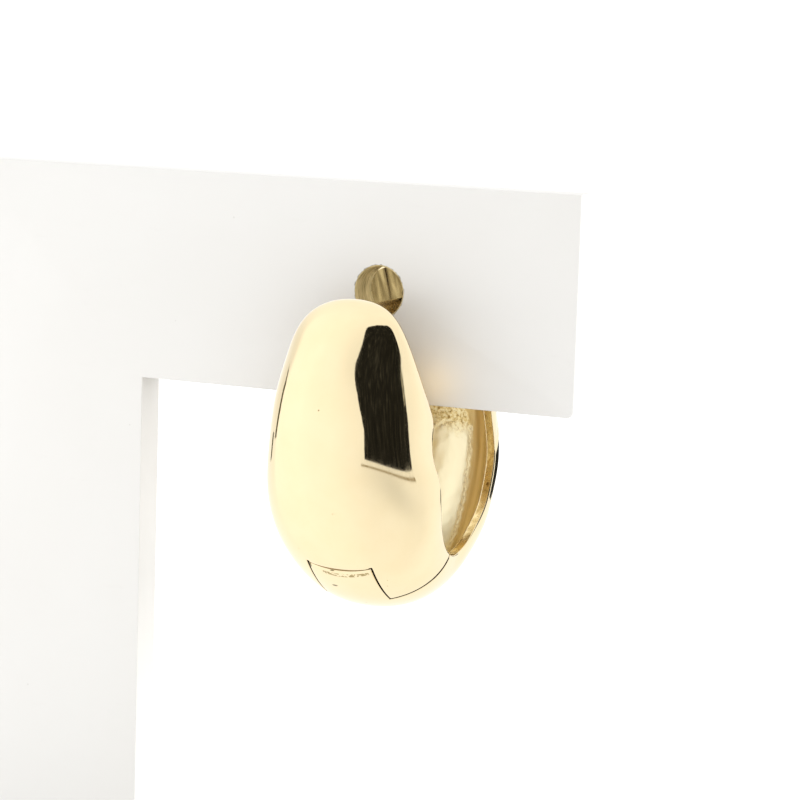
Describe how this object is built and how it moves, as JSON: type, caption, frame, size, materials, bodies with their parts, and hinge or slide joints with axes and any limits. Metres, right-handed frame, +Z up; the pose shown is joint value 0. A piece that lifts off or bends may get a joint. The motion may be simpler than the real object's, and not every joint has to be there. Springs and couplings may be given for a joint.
{
  "type": "teardrop hoop earring on display stand",
  "caption": "Wide hollow gold hoop earring of teardrop form with a hinged back, hanging by its ear post from a plain white display stand.",
  "frame": {"origin": "middle of the underside of the stand's base", "axes": "+Z up, +X from the stand's upright along its arm, +Y from the smooth front half to the hinged back half"},
  "size_m": [0.05, 0.03, 0.0528],
  "materials": {
    "gold_polished": "polished yellow gold",
    "gold_cast": "yellow gold, satin and a little rough as cast on its inner side",
    "gold_pin": "plain yellow gold wire",
    "stand_board": "white lacquered fibre board with a raw brown core in its drilled hole"
  },
  "bodies": {
    "stand_and_front": {"stand_panel": "stand_board", "stand_base": "stand_board", "front_half": "gold_polished", "hinge_pin": "gold_pin"},
    "back": {"back_half": "gold_cast"}
  },
  "joints": [
    {"name": "hoop_hinge", "type": "hinge", "parent": "stand_and_front", "child": "back", "pos_m": [0.0085, -0.00414, 0.02897], "axis": [-1, 0, 0], "range_deg": [0, 60]}
  ]
}
